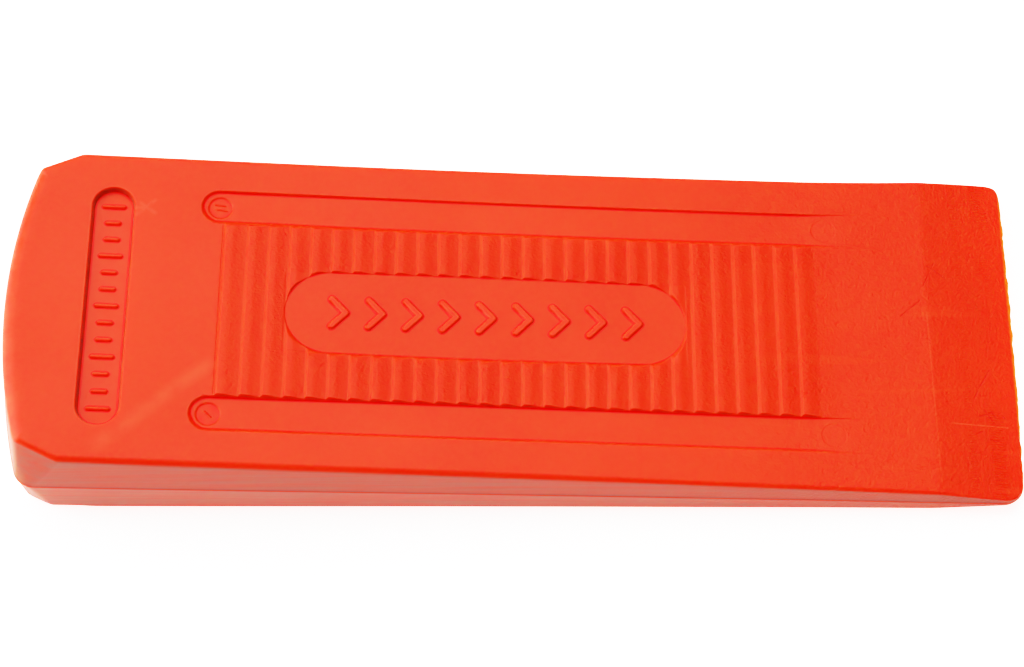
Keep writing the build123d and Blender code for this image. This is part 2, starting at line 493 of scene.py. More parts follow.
def half_profile(rows, radius, draft):
    """Insets and heights from the face round the rim and down the drafted wall, to near the parting line."""
    draft = math.radians(draft)
    inset = np.zeros(len(rows))
    for _ in range(4):
        u = rows[:, 0] + (BASE_INSET - inset) * np.cos(rows[:, 2])
        half = face_height(np.minimum(u, LENGTH))
        inset = (half - radius) * math.tan(draft) + radius / math.cos(draft)
    centre = half - radius
    profile = []
    for t in np.linspace(math.pi / 2, draft, RIM_STEPS):
        profile.append((inset - radius * math.cos(t), centre + radius * math.sin(t)))
    wall_top = centre + radius * math.sin(draft)
    for t in (0.8, 0.6, 0.4, 0.2):
        profile.append((wall_top * t * math.tan(draft), wall_top * t))
    for share, level, flash in ((0.12, 0.22, 0.0), (0.06, 0.1, 0.02)):
        w = np.minimum(wall_top * share, level)
        profile.append((w * math.tan(draft) - flash, w))
    return profile


def tip_wear(rows):
    """Small dents and bites along the thin tip, in mm along the outward heading."""
    across = rows[:, 1] + HALF_WIDTH + 5
    nick = 0.14 * wear_noise(across, 3, 2.3) + 0.1 * wear_noise(across, 4, 0.9)
    bite = 0.55 * np.clip(wear_noise(across, 8, 3.7) - 0.72, 0, 1) / 0.28
    corner = 0.6 * np.exp(-(((rows[:, 2] - math.pi / 4) / 0.4) ** 2))
    return np.clip(np.cos(rows[:, 2]), 0, 1) ** 4 * (nick - bite) + corner


def shoulder_rounding(u):
    """How far the underside's outline is cut back where its bevelled corner meets the long side."""
    slope = (HALF_WIDTH - CROWN_HALF_WIDTH) / (CORNER_BEVEL_END - CROWN_RISE)
    return SHOULDER / 4 * np.clip(1 - np.abs(CORNER_BEVEL_END - u) * slope / SHOULDER, 0, 1) ** 2


def side_rings(rows):
    """Rings of points from the upper rim down over the side to the lower rim, as (ring, point, uvw)."""
    upper = half_profile(rows, rim_radius(rows, CROWN_RIM, SIDE_RIM), UPPER_DRAFT)
    lower = half_profile(rows, rim_radius(rows, 3 * LOWER_RIM, LOWER_RIM), LOWER_DRAFT)
    flash = 0.12
    parting = [(zero_like(rows[:, 0]) - flash, zero_like(rows[:, 0]))]
    lower = [(inset, -w) for inset, w in lower[::-1]]
    wear = tip_wear(rows)
    wall_top = upper[RIM_STEPS - 1][1]
    rings = []
    for inset, w in upper + parting + lower:
        soft = np.clip(1 - np.abs(w) / wall_top * np.where(w < 0, LOWER_CORNERS, 1), 0, 1)[:, None]
        place = rows[:, 0:2] * (1 - soft) + rows[:, 3:5] * soft
        heading = unit(rows[:, 2]) * (1 - soft) + unit(rows[:, 5]) * soft
        heading = heading / np.linalg.norm(heading, axis=1, keepdims=True)
        uv = place + heading * (BASE_INSET - inset + wear)[:, None]
        uv[:, 1] -= np.sign(uv[:, 1]) * (1 - soft[:, 0]) * (w < 0) * shoulder_rounding(uv[:, 0])
        rings.append(np.column_stack([uv, w]))
    return np.array(rings)


# ---------------------------------------------------------------- meshing the two faces
def stadium(centre_a, centre_b, radius, arc=20):
    """A closed loop around the segment between two centres."""
    a, b = np.array(centre_a, float), np.array(centre_b, float)
    heading = math.atan2(*(b - a)[::-1])
    loop = []
    for centre, first in ((b, heading - math.pi / 2), (a, heading + math.pi / 2)):
        for t in np.linspace(0, math.pi, arc + 1):
            loop.append(centre + radius * np.array([math.cos(first + t), math.sin(first + t)]))
    return np.array(loop)


def stroke_loop(line, radius):
    """A closed loop around a bent or straight stroke with round ends."""
    if len(line) == 2:
        return stadium(line[0], line[1], radius, 8)
    a, b, c = (np.array(p, float) for p in line)
    heading_in = math.atan2(*(b - a)[::-1])
    heading_out = math.atan2(*(c - b)[::-1])
    loop = []

    def arc(centre, first, last, count):
        for t in np.linspace(first, last, count):
            loop.append(centre + radius * np.array([math.cos(t), math.sin(t)]))

    arc(a, heading_in + math.pi * 1.5, heading_in + math.pi / 2, 8)
    arc(b, heading_in + math.pi / 2, heading_out + math.pi / 2, 6)
    arc(c, heading_out + math.pi / 2, heading_out - math.pi / 2, 8)
    turn = (heading_out - heading_in) / 2
    inner = (heading_in + heading_out) / 2 - math.pi / 2
    loop.append(b + radius / math.cos(turn) * np.array([math.cos(inner), math.sin(inner)]))
    return np.array(loop)


def divide(loop, step):
    """Adds points on a closed loop so that none of its edges is longer than step."""
    out = []
    for p, q in zip(loop, np.roll(loop, -1, axis=0)):
        count = max(1, int(np.ceil(np.hypot(*(q - p)) / step)))
        for i in range(count):
            out.append(p + (q - p) * i / count)
    return np.array(out)


class Plan:
    """Points and edges of a face's plan, ready for a constrained triangulation."""

    def __init__(self):
        self.points = []
        self.edges = []

    def loop(self, loop, step=6.0):
        """Adds a closed loop."""
        loop = divide(np.asarray(loop), step)
        first = len(self.points)
        self.points.extend(loop)
        for i in range(len(loop)):
            self.edges.append((first + i, first + (i + 1) % len(loop)))

    def line(self, line, step=4.0):
        """Adds an open line."""
        line = np.asarray(line, float)
        out = [line[0]]
        for p, q in zip(line, line[1:]):
            count = max(1, int(np.ceil(np.hypot(*(q - p)) / step)))
            out.extend(p + (q - p) * (i + 1) / count for i in range(count))
        first = len(self.points)
        self.points.extend(out)
        for i in range(len(out) - 1):
            self.edges.append((first + i, first + i + 1))


def wall_offsets(depth, slope, top_k, floor_k):
    """Offsets into a recess at which its rounded, drafted wall needs an edge line."""
    heights = [-top_k, -top_k / 2, 0, top_k / 2, top_k]
    heights += [depth - floor_k, depth - floor_k / 2, depth, depth + floor_k / 2, depth + floor_k]
    offsets = [h / slope for h in heights]
    return [offsets[0] - 0.8, offsets[0] - 0.4] + offsets + [offsets[-1] + 0.4, offsets[-1] + 0.8]


def add_slot_lines(plan):
    for offset in wall_offsets(SLOT_DEPTH, SLOT_WALL, SLOT_RIM_ROUND, SLOT_FLOOR_ROUND):
        plan.loop(stadium(*SLOT_ENDS, SLOT_WIDTH / 2 - offset, 28))


def add_mark_lines(plan):
    """Loops along the walls of the ticks and the chevrons."""
    for offset in wall_offsets(MARK_HEIGHT, MARK_WALL, MARK_FOOT_ROUND, MARK_TOP_ROUND):
        for lines, half_stroke in ((tick_lines(), TICK_HALF_STROKE), (chevron_lines(), CHEVRON_HALF_STROKE)):
            if half_stroke - offset > SHORTEST_RADIUS:
                for line in lines:
                    plan.loop(stroke_loop(line, half_stroke - offset))


def add_rail_lines(plan):
    """Lines round each rail, open toward the tip, and lines across its ramp."""
    end = RAIL_FADE + 3
    for side in (1, -1):
        centre = side * RAIL_OFFSET
        for offset in RAIL_LINES:
            run = stadium((RAIL_START + RAIL_WIDTH / 2, centre), (end, centre), RAIL_WIDTH / 2 - offset, 24)
            keep = run[run[:, 0] < end + 0.01]
            order = np.argsort(np.arctan2(keep[:, 1] - centre, -(keep[:, 0] - RAIL_START - RAIL_WIDTH)))
            plan.line(keep[order])
        for u in np.linspace(RAIL_RAMP, RAIL_FADE, 9):
            plan.line([(u, centre - 4.2), (u, centre + 4.2)])


def add_panel_lines(plan):
    """Loops round the panel's outline, whose long edges bulge."""
    headings = divide(stadium(*PANEL_ENDS, 1.0, 36), 2.0)
    spine = np.clip(headings[:, 0], PANEL_ENDS[0][0], PANEL_ENDS[1][0])
    headings[:, 0] -= spine
    bulge = panel_bulge(spine + headings[:, 0] * PANEL_HALF_WIDTH)
    for offset in PANEL_LINES:
        reach = PANEL_HALF_WIDTH + bulge + offset
        plan.loop(np.column_stack([spine + headings[:, 0] * reach, headings[:, 1] * reach]))


def add_field_lines(plan):
    """Lines along and across the tooth field."""
    for start, end in tooth_spans():
        for s in (*TOOTH_LINES, end - start - 0.8, end - start - 0.1):
            add_tooth_line(plan, start + s)
    for s in (-0.45, -0.28, -0.1):
        add_tooth_line(plan, FIRST_TOOTH + s)
    add_tooth_line(plan, FIELD_END)
    for h in FIELD_WALL_HEIGHTS:
        for slope, side in ((SOFT_WALL, 1), (STEEP_WALL, -1)):
            v = side * (FIELD_HALF_WIDTH - h / slope)
            plan.line([(FIRST_TOOTH - 0.4, v), (FIELD_END + 0.5, v)])


def add_ejector_lines(plan):
    for line in pin_lines():
        for radius in (0.3, 0.12, 0.03):
            plan.loop(stroke_loop(line, radius))
    for centre in ejector_centres():
        for offset in (-0.1, 0.0, 0.1, 0.2, 0.3, 0.4, 0.5):
            plan.loop(stadium(centre, (centre[0] + 1e-4, centre[1]), EJECTOR_RADIUS - offset, 16))


def face_plan(rim, upper):
    """The plan of one face: the rim, and the lines along which its relief bends."""
    plan = Plan()
    plan.points.extend(rim)
    for i in range(len(rim)):
        plan.edges.append((i, (i + 1) % len(rim)))
    add_slot_lines(plan)
    add_mark_lines(plan)
    add_rail_lines(plan)
    add_panel_lines(plan)
    add_field_lines(plan)
    if upper:
        add_ejector_lines(plan)
    for u in (-0.9, -0.45, 0.0, 0.45, 0.9):
        plan.line([(TIP_BEVEL_START + u, -HALF_WIDTH + 3), (TIP_BEVEL_START + u, HALF_WIDTH - 3)])
    return plan


def add_tooth_line(plan, u):
    """One line across the tooth field, broken where the smooth panel lies."""
    reach = FIELD_HALF_WIDTH
    gap = panel_gap(np.full(200, u), np.linspace(-reach, reach, 200))
    if gap.min() > 0.02:
        plan.line([(u, v) for v in np.linspace(-reach, reach, 12)])
        return
    across = np.linspace(0, reach, 2000)
    inner = across[np.argmax(panel_gap(np.full(2000, u), across) > 0.02)]
    for side in (1, -1):
        plan.line([(u, side * v) for v in np.linspace(inner, reach, 5)])


def fill_points(step):
    """Loose points over the plain areas, so that the face can follow the moulding's slight unevenness."""
    u, v = np.meshgrid(np.arange(2, LENGTH - 2, step), np.arange(-HALF_WIDTH + 3, HALF_WIDTH - 2, step))
    shift = (np.arange(u.shape[0]) % 2)[:, None] * step / 2
    return np.column_stack([(u + shift).ravel(), v.ravel()])


def triangulate(plan, rim):
    """The face's vertices in plan, its triangles, and the index of each rim vertex."""
    extra = fill_points(4.0)
    extra = extra[inside_polygon(extra, rim[::4], 1.0)]
    placed = np.array(plan.points)
    extra = extra[[np.hypot(*(placed - p).T).min() > 1.3 for p in extra]]
    points = [Vector(p) for p in plan.points] + [Vector(p) for p in extra]
    outer = [list(range(len(rim)))]
    verts, _, faces, originals, _, _ = geometry.delaunay_2d_cdt(points, plan.edges, outer, 1, 1e-5, True)
    verts = np.array([tuple(v) for v in verts])
    rim_index = np.full(len(rim), -1)
    for new, old in enumerate(originals):
        for o in old:
            if o < len(rim):
                rim_index[o] = new
    return verts, drop_slivers(verts, faces, rim, set(rim_index.tolist())), rim_index


def drop_slivers(verts, faces, rim, on_rim):
    """The triangles without the flat or outlying ones that join only rim points."""
    corners = verts[np.array(faces)]
    a, b = corners[:, 1] - corners[:, 0], corners[:, 2] - corners[:, 0]
    area = np.abs(a[:, 0] * b[:, 1] - a[:, 1] * b[:, 0]) / 2
    real = inside_polygon(corners.mean(axis=1), rim, 0.0) & (area > 1e-5)
    return [face for face, ok in zip(faces, real) if ok or not on_rim.issuperset(face)]


def inside_polygon(points, polygon, margin):
    """Which points lie inside the outline by at least the margin."""
    inside = np.zeros(len(points), bool)
    x, y = points[:, 0], points[:, 1]
    near = np.full(len(points), 99.0)
    for (x0, y0), (x1, y1) in zip(polygon, np.roll(polygon, -1, axis=0)):
        crosses = ((y0 > y) != (y1 > y)) & (x < (x1 - x0) * (y - y0) / (y1 - y0 + 1e-12) + x0)
        inside ^= crosses
        if margin > 0:
            near = np.minimum(near, distance_to_segment(x, y, (x0, y0), (x1, y1)))
    return inside & (near > margin)


def face_surface(u, v, sign):
    """World position of a face's surface: sign is 1 for the upper face and -1 for the lower."""
    w = face_height(u) + relief(u, v, sign > 0)
    return to_world(u, v, sign * w)


def face_normals(u, v, sign):
    """Normals of a face, from the slopes of its own height function."""
    e = 0.01
    du = face_surface(u + e, v, sign) - face_surface(u - e, v, sign)
    dv = face_surface(u, v + e, sign) - face_surface(u, v - e, sign)
    n = np.cross(du, dv) * sign
    return n / np.linalg.norm(n, axis=1, keepdims=True)


def ring_normals(side):
    """Normals of the side's grid of points."""
    along = np.roll(side, -1, axis=1) - np.roll(side, 1, axis=1)
    down = np.zeros_like(side)
    down[1:-1] = side[2:] - side[:-2]
    down[0] = side[1] - side[0]
    down[-1] = side[-1] - side[-2]
    normals = np.cross(down, along)
    return normals / np.maximum(np.linalg.norm(normals, axis=2, keepdims=True), 1e-12)


def ring_faces(ring_count, count):
    """The side's quads, between neighbouring rings."""
    faces = []
    for first in range(0, (ring_count - 1) * count, count):
        for j in range(count):
            k = (j + 1) % count
            faces.append((first + j, first + count + j, first + count + k, first + k))
    return faces


def wedge_mesh():
    """The closed mesh: the side's rings, with a triangulated face joined to them above and below."""
    rings = side_rings(outline())
    ring_count, count = rings.shape[:2]
    side = to_world(rings[..., 0], rings[..., 1], rings[..., 2])
    total = ring_count * count
    verts, normals, hollow = [side.reshape(-1, 3)], [ring_normals(side).reshape(-1, 3)], [np.zeros(total)]
    faces = ring_faces(ring_count, count)
    for sign, ring in ((1, 0), (-1, ring_count - 1)):
        rim = rings[ring, :, :2]
        plan_verts, plan_faces, rim_index = triangulate(face_plan(rim, sign > 0), rim)
        u, v = plan_verts[:, 0], plan_verts[:, 1]
        face_normal = face_normals(u, v, sign)
        number = np.full(len(plan_verts), -1)
        number[rim_index] = ring * count + np.arange(count)
        free = np.where(number < 0)[0]
        number[free] = total + np.arange(len(free))
        total += len(free)
        verts.append(face_surface(u[free], v[free], sign))
        normals.append(face_normal[free])
        hollow.append(hollowness(u[free], v[free], sign > 0))
        normals[0][ring * count + np.arange(count)] = face_normal[rim_index]
        for face in plan_faces:
            mapped = [int(number[i]) for i in face]
            if len(set(mapped)) >= 3:
                faces.append(mapped if sign > 0 else mapped[::-1])
    return np.vstack(verts), faces, np.vstack(normals), np.concatenate(hollow)


def build_wedge():
    verts, faces, normals, hollow = wedge_mesh()
    mesh = bpy.data.meshes.new("wedge_moulding")
    mesh.from_pydata(verts.tolist(), [], faces)
    mesh.update()
    for polygon in mesh.polygons:
        polygon.use_smooth = True
    mesh.normals_split_custom_set_from_vertices([tuple(n) for n in normals])
    # the hollow attribute drives the painted shade in creases and the painted highlights on ridges
    mesh.attributes.new("hollow", "FLOAT", "POINT").data.foreach_set("value", hollow)
    wedge = bpy.data.objects.new("wedge_moulding", mesh)
    bpy.context.scene.collection.objects.link(wedge)
    return wedge


# ---------------------------------------------------------------- material
ORANGE = (0.80, 0.054, 0.004, 1)
LIGHTER_ORANGE = (0.85, 0.066, 0.006, 1)
FINE_MOTTLE = (0.86, 0.085, 0.012, 1)
FLOW_LINE = (0.92, 0.17, 0.05, 1)
DARK_SPECK = (0.6, 0.02, 0.002, 1)
# painted glow: the thin tip edge lit up as if light shone through it, with its pale burr
TIP_GLOW_AND_BURR = (1.0, 0.33, 0.01, 1)
RUBBED = (0.92, 0.2, 0.07, 1)
# painted highlight along the rounded rim of the crown
CROWN_EDGE_HIGHLIGHT = (0.9, 0.3, 0.13, 1)
# painted shade on the recessed slot floor, darker and greyer
SLOT_FLOOR_SHADE = (0.62, 0.13, 0.085, 1)
# painted highlight on the ridges of the relief
RIDGE_HIGHLIGHT = (0.9, 0.12, 0.03, 1)
# painted shade in creases and on recess walls
CREASE_SHADE = (1.0, 0.012, 0.0, 1)
# painted shade and floor sheen on the sides, with their drawn streaks
SIDE_SHADE_AND_STREAKS = (0.38, 0.15, 0.102, 1)
# painted shadow along the parting line
PARTING_SHADOW = (0.38, 0.08, 0.05, 1)
# painted highlight along the tip bevel's crease
BEVEL_CREASE_HIGHLIGHT = (0.92, 0.17, 0.06, 1)
SCUFF = (0.95, 0.16, 0.05, 1)
PALE_SCRATCH = (0.95, 0.2, 0.08, 1)
CUT = (0.75, 0.012, 0.0, 1)

# rows of tool chatter on the tip bevel: place, outer and inner half width, and strength
CHATTER_ROWS = ((113.0, 2.6, 1.2, 1.0), (106.8, 1.3, 0.5, 0.7))


class Graph:
    """Short-hand for building a material's node graph."""

    def __init__(self, material):
        material.use_nodes = True
        self.nodes = material.node_tree.nodes
        self.links = material.node_tree.links
        self.position = self.nodes.new("ShaderNodeTexCoord").outputs["Object"]

    def put(self, socket, value):
        if isinstance(value, bpy.types.NodeSocket):
            self.links.new(value, socket)
        else:
            socket.default_value = value

    def math(self, operation, *values):
        node = self.nodes.new("ShaderNodeMath")
        node.operation = operation
        for socket, value in zip(node.inputs, values):
            self.put(socket, value)
        return node.outputs[0]

    def vector(self, operation, *values, output="Vector"):
        node = self.nodes.new("ShaderNodeVectorMath")
        node.operation = operation
        for socket, value in zip(node.inputs, values):
            self.put(socket, value)
        return node.outputs[output]

    def noise(self, scale, detail=2.0, stretch=(1, 1, 1), seed=0.0):
        """Noise in 0..1, with its scale in features per metre."""
        node = self.nodes.new("ShaderNodeTexNoise")
        moved = self.vector("ADD", self.position, (seed, seed * 0.7, seed * 0.3))
        self.put(node.inputs["Vector"], self.vector("MULTIPLY", moved, stretch))
        node.inputs["Scale"].default_value = scale
        node.inputs["Detail"].default_value = detail
        return node.outputs["Fac"]

    def spots(self, scale, seed=0.0):
        """Distance to the nearest of many scattered points, in cells."""
        node = self.nodes.new("ShaderNodeTexVoronoi")
        self.put(node.inputs["Vector"], self.vector("ADD", self.position, (seed, seed, seed)))
        node.inputs["Scale"].default_value = scale
        return node.outputs["Distance"]

    def step(self, value, start, end):
        """0 below start, 1 above end, smooth between; start may be the larger."""
        node = self.nodes.new("ShaderNodeMapRange")
        node.interpolation_type = "SMOOTHSTEP"
        self.put(node.inputs["Value"], value)
        node.inputs["From Min"].default_value = min(start, end)
        node.inputs["From Max"].default_value = max(start, end)
        node.inputs["To Min"].default_value = 0.0 if start < end else 1.0
        node.inputs["To Max"].default_value = 1.0 if start < end else 0.0
        return node.outputs["Result"]

    def attribute(self, name):
        node = self.nodes.new("ShaderNodeAttribute")
        node.attribute_name = name
        return node.outputs["Fac"]

    def mix(self, factor, a, b):
        node = self.nodes.new("ShaderNodeMix")
        node.data_type = "RGBA"
        self.put(node.inputs["Factor"], factor)
        self.put(node.inputs["A"], a)
        self.put(node.inputs["B"], b)
        return node.outputs["Result"]

    def product(self, *values):
        result = values[0]
        for value in values[1:]:
            result = self.math("MULTIPLY", result, value)
        return result

    def total(self, *values):
        result = values[0]
        for value in values[1:]:
            result = self.math("ADD", result, value)
        return result

    def coordinate(self, direction):
        """Distance along a direction, in mm from the middle of the wedge."""
        metres = self.vector("DOT_PRODUCT", self.position, direction, output="Value")
        return self.math("MULTIPLY", metres, 1 / MM)

    def stroke(self, start, end, half_width, soft):
        """A soft straight stroke on the plan, between two points in mm."""
        along = Vector(end) - Vector(start)
        length = along.length
        along.normalize()
        across = Vector((-along.y, along.x))
        t = self.math("SUBTRACT", self.coordinate((along.x, along.y, 0)), along.dot(Vector(start)))
        s = self.math("SUBTRACT", self.coordinate((across.x, across.y, 0)), across.dot(Vector(start)))
        ends = self.product(self.step(t, -soft, soft), self.step(t, length + soft, length - soft))
        sides = self.step(self.math("ABSOLUTE", s), half_width + soft, max(half_width - soft, 0))
        return self.product(ends, sides)


def base_orange(g):
    """Saturated orange with a slow drift and a fine mottle."""
    drift = g.step(g.noise(28, 3), 0.3, 0.7)
    fine = g.step(g.noise(900, 2, seed=3.0), 0.3, 0.7)
    return g.mix(g.product(fine, 0.25), g.mix(drift, ORANGE, LIGHTER_ORANGE), FINE_MOTTLE)


def moulding_marks_and_tip_glow(g, colour, x, upper):
    """A pale flow line beside the slot, dark specks, and the thin tip edge painted lighter and yellower: a
    painted glow of light through the thin plastic, with its pale burr.
    """
    broken = g.step(g.noise(160, 3), 0.2, 0.6)
    flow = g.product(g.stroke((-94, -36.5), (-69, -14), 0.6, 2.4), upper, broken, 0.35)
    colour = g.mix(flow, colour, FLOW_LINE)
    patches = g.step(g.noise(35, 1, seed=8.0), 0.52, 0.6)
    specks = g.product(g.step(g.spots(60, 1.3), 0.03, 0.02), patches, 0.5)
    colour = g.mix(specks, colour, DARK_SPECK)
    # the tip edge: a painted glow of light through the thin plastic, with its burr
    return g.mix(g.product(g.step(x, 117.9, 118.7), 0.8), colour, TIP_GLOW_AND_BURR)


def rubbed_head_and_rim_highlight(g, colour, x, y):
    """Plastic gone pale from blows along the curved edge of the head, and a painted highlight along the
    crown's rounded rim.
    """
    crown = crown_distance(g, x, y)
    rubbed = g.product(g.step(crown, 7, 1), g.step(g.noise(220, 4, seed=5.0), 0.25, 0.7), 0.3)
    colour = g.mix(rubbed, colour, RUBBED)
    # painted highlight: the last 2.2 mm of the crown's rounded rim made paler
    return g.mix(g.product(g.step(crown, 2.2, 0.4), 0.5), colour, CROWN_EDGE_HIGHLIGHT)


def painted_relief_shading(g, colour, upper):
    """A darker, greyer slot floor as painted shade, paler ridges as painted highlights, and deep red creases
    as painted shade.
    """
    middle = SLOT_CENTRE - LENGTH / 2
    # painted shade: the slot floor made darker and greyer
    slot = g.product(g.stroke((middle, -26), (middle, 26), 4.6, 0.5), upper, 0.1)
    colour = g.mix(slot, colour, SLOT_FLOOR_SHADE)
    hollow = g.attribute("hollow")
    # painted highlights on ridges and painted shade in creases, from the hollow attribute
    colour = g.mix(g.product(g.step(hollow, -0.03, -0.25), 0.3), colour, RIDGE_HIGHLIGHT)
    return g.mix(g.product(g.step(hollow, 0.02, 0.17), 0.85), colour, CREASE_SHADE)


def side_shade_and_parting_shadow(g, colour, x, on_side, brushed):
    """The sides tinted darker and pinker as painted shade and floor sheen, more so along their drawn
    streaks, and a darker band along the bowed parting line as painted shadow.
    """
    # painted shade on the sides, stronger along the drawn streaks
    colour = g.mix(g.product(on_side, g.total(0.25, g.product(brushed, 0.8))), colour, SIDE_SHADE_AND_STREAKS)
    level = g.total(g.coordinate((SIN, 0, COS)), -PARTING_LEVEL)
    level = g.math("SUBTRACT", level, g.product(x, x, BOW / (LENGTH / 2) ** 2))
    # painted shadow in a band along the parting line
    seam_shade = g.product(g.step(g.math("ABSOLUTE", g.total(level, 0.1)), 0.9, 0.45), on_side, 0.5)
    return g.mix(seam_shade, colour, PARTING_SHADOW)


def wear_and_bevel_highlight(g, colour, upper, scuffs, cuts):
    """A painted highlight along the crease of the tip bevel, then scuffs, rub marks and dark cuts."""
    # painted highlight along the tip bevel's crease
    edge = g.product(g.stroke((98.9, -38), (98.3, 6), 0.1, 0.25), upper, 0.3)
    colour = g.mix(edge, colour, BEVEL_CREASE_HIGHLIGHT)
    colour = g.mix(g.product(scuffs, 0.16), colour, SCUFF)
    colour = g.mix(g.product(pale_scratches(g, upper), 0.5), colour, PALE_SCRATCH)
    return g.mix(g.product(cuts, 0.5), colour, CUT)


def crown_distance(g, x, y):
    """Distance in from the curved edge of the head, in mm."""
    radius = crown_radius(CROWN_RISE)
    from_centre = g.math("SUBTRACT", x, radius - LENGTH / 2)
    squares = g.total(g.math("MULTIPLY", from_centre, from_centre), g.math("MULTIPLY", y, y))
    return g.math("SUBTRACT", radius, g.math("SQRT", squares))


def pale_scratches(g, upper):
    """Light rub marks: a long one along the tip bevel, and three short crossing ones beside the slot."""
    short = (
        ((-89.0, 23.5), (-84.2, 28.2)),
        ((-88.0, 27.2), (-84.0, 24.4)),
        ((-89.5, 25.6), (-86.6, 25.9)),
    )
    total = g.stroke((102.5, -22.8), (115.9, -22.9), 0.1, 0.2)
    for start, end in short:
        total = g.math("MAXIMUM", total, g.product(g.stroke(start, end, 0.25, 0.6), 0.5))
    return g.product(total, upper, g.step(g.noise(500, 2, seed=14.0), 0.25, 0.5))


def scratches(g, upper):
    """Dark scratches from use, on the tip bevel and just before it: start, end and half width, in mm."""
    cuts = (
        ((112.4, -8.2), (108.0, -16.3), 0.12),
        ((109.0, -20.6), (112.0, -19.4), 0.15),
        ((112.0, -19.0), (113.5, -21.2), 0.15),
        ((114.6, -19.8), (115.6, -21.0), 0.1),
        ((110.4, -18.6), (112.4, -21.9), 0.08),
        ((107.5, -25.4), (109.7, -24.3), 0.1),
        ((111.2, -26.4), (114.4, -26.6), 0.08),
        ((99.2, 18.5), (103.5, 15.5), 0.06),
        ((98.0, 13.0), (101.0, 19.5), 0.05),
        ((92.0, 4.5), (97.0, 9.0), 0.05),
    )
    total = 0.0
    for start, end, width in cuts:
        total = g.math("MAXIMUM", total, g.stroke(start, end, width, 0.2))
    broken = g.step(g.noise(420, 2, seed=2.0), 0.3, 0.55)
    return g.product(total, broken, upper)


def grained_zones(g, x, y, toward_tip):
    """How grained the skin is: on the tooth field but not on its smooth panel, and more toward the tip."""
    field = g.product(g.step(x, -70, -66), g.step(x, 78, 72), g.step(g.math("ABSOLUTE", y), 22.6, 22.0))
    field = g.product(field, g.math("SUBTRACT", 1.0, g.stroke((-53, 0), (41, 0), 10.4, 0.2)))
    bevel = g.step(x, 96.5, 99.0)
    zones = g.total(g.product(field, 0.55), g.product(toward_tip, 0.6), g.product(bevel, 0.4))
    return g.math("MINIMUM", zones, 1.0)


def tool_chatter(g, x, y, upper):
    """Fine ticks across the tip bevel, in broken rows."""
    rows = 0.0
    for place, outer, inner, strength in CHATTER_ROWS:
        row = g.step(g.math("ABSOLUTE", g.total(x, -place)), outer, inner)
        rows = g.total(rows, g.product(row, strength))
    waves = g.math("SINE", g.total(g.product(y, 10.0), g.product(g.noise(60, 2), 8.0)))
    return g.product(waves, rows, upper, g.step(g.noise(120, 2, (1, 0.6, 1), seed=7.0), 0.42, 0.55))


def skin_height(g, x, y, upper, on_side, grained, brushed, cuts):
    """The finest relief, in mm: orange peel, grain, pits, chatter, cuts, and the side's drawn streaks."""
    return g.total(
        g.product(g.noise(260, 2, seed=1.0), 0.06),
        g.product(g.noise(1500, 3, seed=4.0), grained, 0.22),
        g.product(g.step(g.noise(620, 4, seed=6.0), 0.58, 0.72), grained, -0.1),
        g.product(tool_chatter(g, x, y, upper), 0.05),
        g.product(cuts, -0.1),
        g.product(brushed, on_side, 0.05),
    )


def plastic():
    """Satin injection-moulded plastic: fine orange peel, grained and worn zones, scratches and scuffs."""
    material = bpy.data.materials.new("orange_plastic")
    g = Graph(material)
    shader = g.nodes["Principled BSDF"]
    x, y = g.coordinate((1, 0, 0)), g.coordinate((0, 1, 0))
    facing = g.nodes.new("ShaderNodeNewGeometry").outputs["True Normal"]
    facing_up = g.vector("DOT_PRODUCT", facing, (0, 0, 1), output="Value")
    upper = g.step(facing_up, 0.3, 0.6)
    on_side = g.step(g.math("ABSOLUTE", facing_up), 0.6, 0.3)
    toward_tip = g.step(x, 20, 95)
    grained = grained_zones(g, x, y, toward_tip)
    scuffs = g.product(g.step(g.noise(70, 6, (0.25, 3.0, 1), seed=9.0), 0.6, 0.68), toward_tip)
    cuts = scratches(g, upper)
    brushed = g.noise(700, 3, (0.05, 1.0, 1.0), seed=11.0)

    bump = g.nodes.new("ShaderNodeBump")
    bump.inputs["Strength"].default_value = 1.0
    bump.inputs["Distance"].default_value = MM
    g.put(bump.inputs["Height"], skin_height(g, x, y, upper, on_side, grained, brushed, cuts))
    g.put(shader.inputs["Normal"], bump.outputs["Normal"])

    patches = g.product(g.noise(45, 3, seed=12.0), 0.08)
    rough = g.total(0.40, patches, g.product(grained, 0.05), g.product(scuffs, 0.12))
    g.put(shader.inputs["Roughness"], rough)

    colour = moulding_marks_and_tip_glow(g, base_orange(g), x, upper)
    colour = rubbed_head_and_rim_highlight(g, colour, x, y)
    colour = painted_relief_shading(g, colour, upper)
    colour = side_shade_and_parting_shadow(g, colour, x, on_side, brushed)
    g.put(shader.inputs["Base Color"], wear_and_bevel_highlight(g, colour, upper, scuffs, cuts))

    shader.inputs["IOR"].default_value = 1.5
    shader.inputs["Specular IOR Level"].default_value = 0.4
    shader.inputs["Subsurface Weight"].default_value = 1.0
    shader.inputs["Subsurface Radius"].default_value = (1.0, 0.1, 0.04)
    shader.inputs["Subsurface Scale"].default_value = 0.0025
    return material


def floor_material():
    """White paper that glows a little, so that it stays white under the soft light."""
    material = bpy.data.materials.new("floor_white")
    material.use_nodes = True
    shader = material.node_tree.nodes["Principled BSDF"]
    shader.inputs["Base Color"].default_value = (0.8, 0.8, 0.8, 1)
    shader.inputs["Roughness"].default_value = 0.8
    shader.inputs["Emission Color"].default_value = (1, 1, 1, 1)
    shader.inputs["Emission Strength"].default_value = 0.55
    return material


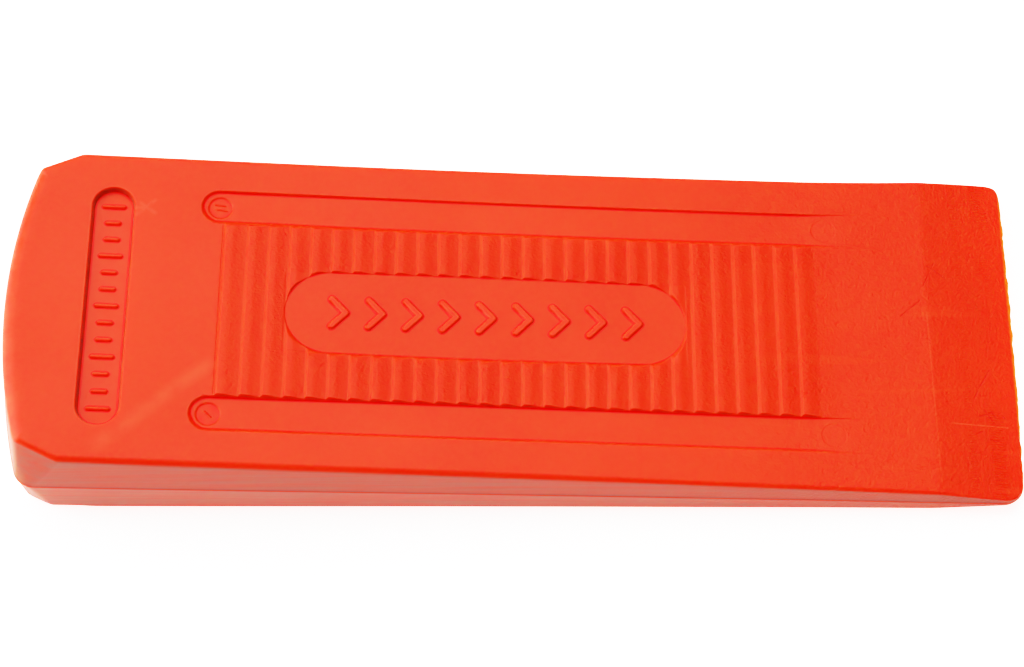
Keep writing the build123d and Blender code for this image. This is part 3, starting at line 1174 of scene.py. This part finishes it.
# ---------------------------------------------------------------- studio, in metres
FLOOR_REACH = 6.0
WORLD_STRENGTH = 0.17
CAMERA_ELEVATION = math.radians(63.0)
CAMERA_AZIMUTH = math.radians(1.76)
CAMERA_ROLL = math.radians(1.69)
CAMERA_DISTANCE = 0.61346
CAMERA_TARGET = Vector((low.x + 0.11887, -0.00118, 0.0125))
SENSOR_WIDTH = 36
LENS = 91.5715
# pairs of light in and light out, on top of the standard view
FILM_RESPONSE = ((0.015, 0.004), (0.08, 0.09), (0.35, 0.69), (0.6, 0.91))


def add_floor():
    mesh = bpy.data.meshes.new("floor")
    corners = [(x * FLOOR_REACH, y * FLOOR_REACH, 0) for x, y in ((-1, -1), (1, -1), (1, 1), (-1, 1))]
    mesh.from_pydata(corners, [], [(0, 1, 2, 3)])
    floor = bpy.data.objects.new("floor", mesh)
    bpy.context.scene.collection.objects.link(floor)
    mesh.materials.append(floor_material())


def add_area_light(name, place, width, height, power):
    """A soft light that faces the middle of the wedge."""
    light = bpy.data.lights.new(name, "AREA")
    light.shape = "RECTANGLE"
    light.size = width
    light.size_y = height
    light.energy = power
    obj = bpy.data.objects.new(name, light)
    obj.location = place
    obj.rotation_euler = (-Vector(place)).to_track_quat("-Z", "Y").to_euler()
    bpy.context.scene.collection.objects.link(obj)


def add_world():
    """A weak white surround."""
    world = bpy.data.worlds.new("studio")
    bpy.context.scene.world = world
    world.use_nodes = True
    background = world.node_tree.nodes["Background"]
    background.inputs["Color"].default_value = (1, 1, 1, 1)
    background.inputs["Strength"].default_value = WORLD_STRENGTH


def camera_rotation():
    """The way back from the target to the camera, and its rotation with its small roll."""
    flat = math.cos(CAMERA_ELEVATION)
    back = Vector((
        math.sin(CAMERA_AZIMUTH) * flat,
        -math.cos(CAMERA_AZIMUTH) * flat,
        math.sin(CAMERA_ELEVATION),
    ))
    right = Vector((math.cos(CAMERA_AZIMUTH), math.sin(CAMERA_AZIMUTH), 0))
    up = back.cross(right)
    cos_roll, sin_roll = math.cos(CAMERA_ROLL), math.sin(CAMERA_ROLL)
    right, up = right * cos_roll - up * sin_roll, right * sin_roll + up * cos_roll
    return back, Matrix((right, up, back)).transposed()


def add_camera():
    """The camera stands in front of the wedge and looks steeply down on it through a long lens."""
    camera = bpy.data.cameras.new("camera")
    camera.sensor_width = SENSOR_WIDTH
    camera.lens = LENS
    camera.clip_start = 0.01
    obj = bpy.data.objects.new("camera", camera)
    back, rotation = camera_rotation()
    obj.matrix_world = Matrix.Translation(CAMERA_TARGET + back * CAMERA_DISTANCE) @ rotation.to_4x4()
    bpy.context.scene.collection.objects.link(obj)
    bpy.context.scene.camera = obj


def set_film_response():
    """A contrasty film response: deep shadows, and highlights that roll off slowly."""
    view = bpy.context.scene.view_settings
    view.view_transform = "Standard"
    view.use_curve_mapping = True
    combined = view.curve_mapping.curves[3]
    for light_in, light_out in FILM_RESPONSE:
        combined.points.new(light_in, light_out)
    view.curve_mapping.update()


wedge = build_wedge()
wedge.data.materials.append(plastic())
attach(wedge, "root")
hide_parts("wedge_body")

add_floor()
add_area_light("key", (-0.36, 0.6, 1.42), width=2.1, height=1.8, power=19)
add_area_light("left", (-1.5, 0.3, 0.6), width=0.7, height=1.2, power=8)
add_world()
add_camera()
set_film_response()
